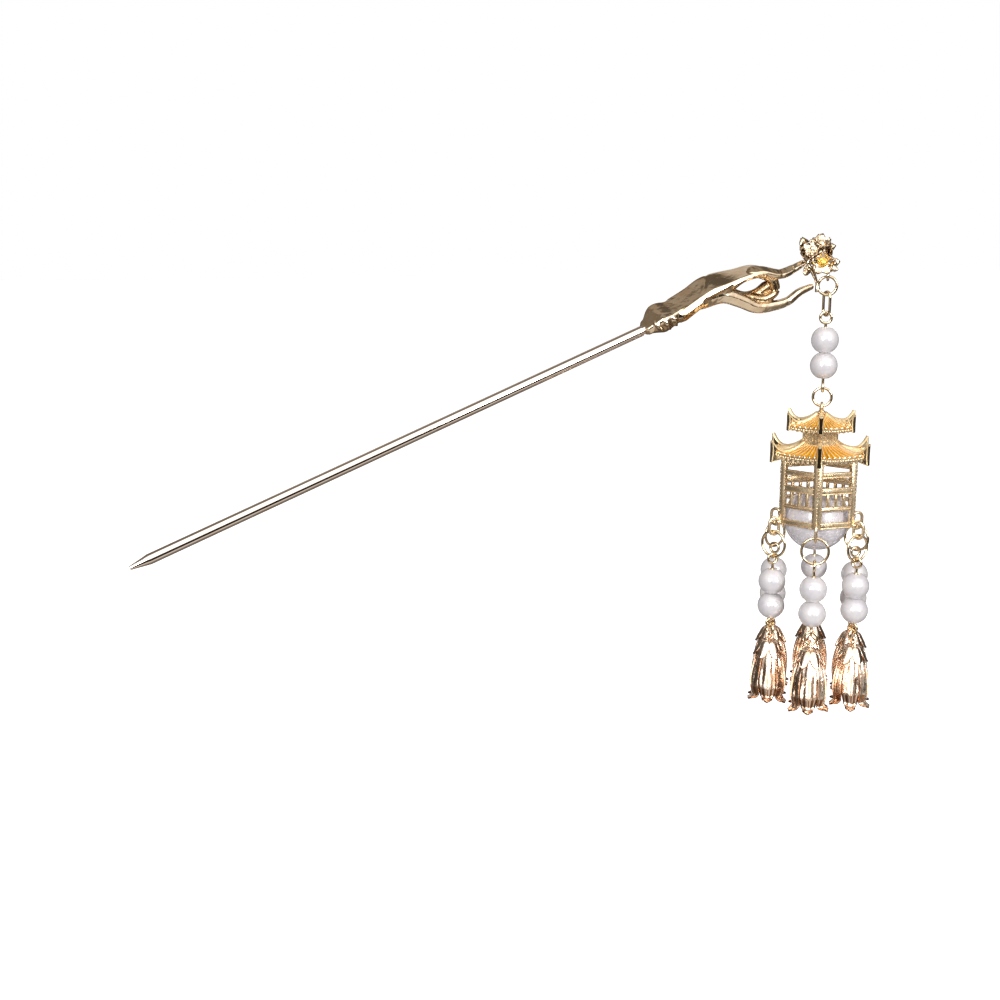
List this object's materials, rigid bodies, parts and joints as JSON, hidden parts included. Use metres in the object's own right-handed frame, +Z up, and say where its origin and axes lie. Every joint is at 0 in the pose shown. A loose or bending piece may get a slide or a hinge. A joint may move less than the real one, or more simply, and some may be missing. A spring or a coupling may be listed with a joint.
{
  "type": "buyao hairpin",
  "caption": "Buyao hair stick: a cast hand holds a flower sprig, from which a hexagonal pavilion lantern with a bead and pearl drops ending in bell flowers hangs and sways.",
  "frame": {"origin": "on the axis of the stick at its middle, where the hair holds it", "axes": "+X level towards the hand and the pendant, +Y level to the side, +Z up; the stick lies in the XZ plane and slopes down to its tip at -X"},
  "size_m": [0.1645, 0.0266, 0.1043],
  "materials": {
    "stick_metal": "polished pale rose gold plating",
    "hand_gold": "polished pale gold plating",
    "sprig_gold": "polished pale gold plating",
    "wire_gold": "bright pale gold wire",
    "lantern_gold": "satin champagne gold plating",
    "rose_gold": "polished rose gold plating",
    "pearl": "imitation pearl lacquer",
    "frosted_bead": "milky translucent bead"
  },
  "bodies": {
    "pin": {"stick": "stick_metal", "hand": "hand_gold", "flower_sprig": "sprig_gold"},
    "hook": {"hook_ring": "wire_gold"},
    "pendant": {"top_link": "wire_gold", "top_pin": "wire_gold", "top_pearl_1": "pearl", "top_pearl_2": "pearl", "bail_ring": "wire_gold", "lantern_roof": "lantern_gold", "lantern_cage": "lantern_gold", "lantern_bead": "frosted_bead", "drop_ring_1": "wire_gold", "drop_pin_1": "wire_gold", "pearl_upper_1": "pearl", "pearl_lower_1": "pearl", "bell_ring_1": "wire_gold", "bell_flower_1": "rose_gold", "drop_ring_2": "wire_gold", "drop_pin_2": "wire_gold", "pearl_upper_2": "pearl", "pearl_lower_2": "pearl", "bell_ring_2": "wire_gold", "bell_flower_2": "rose_gold", "drop_ring_3": "wire_gold", "drop_pin_3": "wire_gold", "pearl_upper_3": "pearl", "pearl_lower_3": "pearl", "bell_ring_3": "wire_gold", "bell_flower_3": "rose_gold", "drop_ring_4": "wire_gold", "drop_pin_4": "wire_gold", "pearl_upper_4": "pearl", "pearl_lower_4": "pearl", "bell_ring_4": "wire_gold", "bell_flower_4": "rose_gold", "drop_ring_5": "wire_gold", "drop_pin_5": "wire_gold", "pearl_upper_5": "pearl", "pearl_lower_5": "pearl", "bell_ring_5": "wire_gold", "bell_flower_5": "rose_gold", "drop_ring_6": "wire_gold", "drop_pin_6": "wire_gold", "pearl_upper_6": "pearl", "pearl_lower_6": "pearl", "bell_ring_6": "wire_gold", "bell_flower_6": "rose_gold"}
  },
  "joints": [
    {"name": "pendant_swing", "type": "hinge", "parent": "pin", "child": "hook", "pos_m": [0.09558, 0, 0.03151], "axis": [0.5, 0.866, 0], "range_deg": [-50, 25]},
    {"name": "pendant_sway", "type": "hinge", "parent": "hook", "child": "pendant", "pos_m": [0.09558, 0, 0.02825], "axis": [0.866, -0.5, 0], "range_deg": [-45, 45]}
  ]
}
